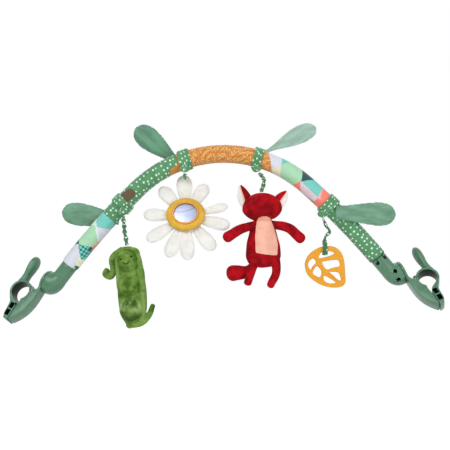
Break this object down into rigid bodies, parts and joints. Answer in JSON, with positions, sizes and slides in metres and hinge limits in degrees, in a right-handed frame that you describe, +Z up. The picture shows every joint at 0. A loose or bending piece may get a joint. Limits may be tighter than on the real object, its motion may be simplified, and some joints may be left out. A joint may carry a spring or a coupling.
{
  "type": "baby play arch",
  "caption": "Bendable padded play arch with a sprung clip on a swivel at each end and soft toys hanging on ribbons: daisy mirror, fox, pea pod and leaf teether.",
  "frame": {"origin": "halfway between the arch's two ends, in the arch's plane, at the height of the clips' swivel discs on an untwisted arch", "axes": "+X along the span to the clip on the right of the picture, +Y through the arch away from the viewer, +Z up to the crown"},
  "size_m": [0.5789, 0.0794, 0.2754],
  "materials": {
    "green_plastic": "smooth moulded nylon, satin",
    "steel": "zinc plated",
    "spring_steel": "bright drawn wire",
    "foam": "open-cell foam",
    "patchwork_fabric": "woven cotton with a printed triangle patchwork",
    "dotted_fabric": "woven cotton with small pale dots",
    "orange_fabric": "woven cotton with cream dashes",
    "leaf_fabric": "padded satin",
    "white_plush": "short-pile plush",
    "yellow_fabric": "short-pile plush",
    "mirror_film": "soft mirror film",
    "red_plush": "short-pile plush",
    "peach_plush": "short-pile plush",
    "pea_plush": "short-pile plush",
    "teether_silicone": "soft silicone, satin"
  },
  "bodies": {
    "arch": {"core_rod": "spring_steel", "foam_tube": "foam", "sleeve_left_print": "patchwork_fabric", "sleeve_right_print": "patchwork_fabric", "sleeve_left_dots": "dotted_fabric", "sleeve_right_dots": "dotted_fabric", "tie_1": "dotted_fabric", "tie_2": "dotted_fabric", "tie_3": "dotted_fabric", "tie_4": "dotted_fabric", "sleeve_orange": "orange_fabric", "elbow_left_front": "green_plastic", "elbow_left_back": "green_plastic", "elbow_left_screw_1": "steel", "elbow_left_screw_2": "steel", "elbow_left_screw_3": "steel", "elbow_left_screw_4": "steel", "elbow_right_front": "green_plastic", "elbow_right_back": "green_plastic", "elbow_right_screw_1": "steel", "elbow_right_screw_2": "steel", "elbow_right_screw_3": "steel", "elbow_right_screw_4": "steel", "leaf_1": "leaf_fabric", "leaf_2": "leaf_fabric", "leaf_3": "leaf_fabric", "leaf_4": "leaf_fabric"},
    "clip_left": {"clip_left_arm": "green_plastic", "clip_left_pin": "steel", "clip_left_spring": "spring_steel"},
    "jaw_left": {"clip_left_jaw": "green_plastic"},
    "clip_right": {"clip_right_arm": "green_plastic", "clip_right_pin": "steel", "clip_right_spring": "spring_steel"},
    "jaw_right": {"clip_right_jaw": "green_plastic"},
    "pea_strap": {"tail_pea": "dotted_fabric"},
    "pea_toy": {"pea_pod": "pea_plush", "pea_top": "pea_plush", "pea_middle": "pea_plush", "pea_bottom": "pea_plush", "pea_curl": "pea_plush", "pea_stem": "pea_plush"},
    "daisy_toy": {"daisy_loop": "dotted_fabric", "daisy_petals": "white_plush", "daisy_back": "white_plush", "daisy_ring": "yellow_fabric", "daisy_mirror": "mirror_film"},
    "fox_strap": {"tail_fox": "dotted_fabric"},
    "fox_toy": {"fox_head": "red_plush", "fox_ear_left": "red_plush", "fox_ear_right": "red_plush", "fox_body": "red_plush", "fox_arm_left": "red_plush", "fox_arm_right": "red_plush", "fox_leg_left": "red_plush", "fox_leg_right": "red_plush", "fox_tail": "red_plush", "fox_belly": "peach_plush"},
    "teether_strap": {"tail_teether": "dotted_fabric"},
    "teether_toy": {"teether": "teether_silicone"}
  },
  "joints": [
    {"name": "clip_left_swivel", "type": "hinge", "parent": "arch", "child": "clip_left", "pos_m": [-0.23813, 0.00335, -0.00035], "axis": [-0.8798, 0.313, 0.3578], "continuous": true},
    {"name": "clip_right_swivel", "type": "hinge", "parent": "arch", "child": "clip_right", "pos_m": [0.23856, 0.00018, 0], "axis": [0.9204, 0.0168, 0.3906], "continuous": true},
    {"name": "jaw_left_hinge", "type": "hinge", "parent": "clip_left", "child": "jaw_left", "pos_m": [-0.25677, -0.00089, -0.01343], "axis": [0.1243, 0.878, -0.4623], "range_deg": [0, 27], "stiffness_Nm_per_rad": 0.5, "springref_deg": -20.05},
    {"name": "jaw_right_hinge", "type": "hinge", "parent": "clip_right", "child": "jaw_right", "pos_m": [0.25468, -0.01247, -0.01081], "axis": [-0.2299, -0.7849, 0.5754], "range_deg": [0, 27], "stiffness_Nm_per_rad": 0.5, "springref_deg": -20.05},
    {"name": "pea_strap_swing", "type": "hinge", "parent": "arch", "child": "pea_strap", "pos_m": [-0.13195, -0.01378, 0.09242], "axis": [1, 0, 0], "range_deg": [-60, 45]},
    {"name": "pea_sway", "type": "hinge", "parent": "pea_strap", "child": "pea_toy", "pos_m": [-0.12805, -0.01378, 0.04552], "axis": [0, 1, 0], "range_deg": [-12, 12]},
    {"name": "daisy_swing", "type": "hinge", "parent": "arch", "child": "daisy_toy", "pos_m": [-0.04886, -0.01202, 0.14744], "axis": [1, 0, 0], "range_deg": [-60, 20]},
    {"name": "fox_strap_swing", "type": "hinge", "parent": "arch", "child": "fox_strap", "pos_m": [0.04675, -0.00895, 0.14543], "axis": [1, 0, 0], "range_deg": [-60, 60]},
    {"name": "fox_sway", "type": "hinge", "parent": "fox_strap", "child": "fox_toy", "pos_m": [0.05325, -0.00895, 0.11253], "axis": [0, 1, 0], "range_deg": [-12, 0]},
    {"name": "teether_strap_swing", "type": "hinge", "parent": "arch", "child": "teether_strap", "pos_m": [0.1339, -0.00746, 0.08238], "axis": [1, 0, 0], "range_deg": [-60, 60]},
    {"name": "teether_sway", "type": "hinge", "parent": "teether_strap", "child": "teether_toy", "pos_m": [0.1356, -0.00746, 0.0387], "axis": [0, 1, 0], "range_deg": [-6, 8]}
  ]
}
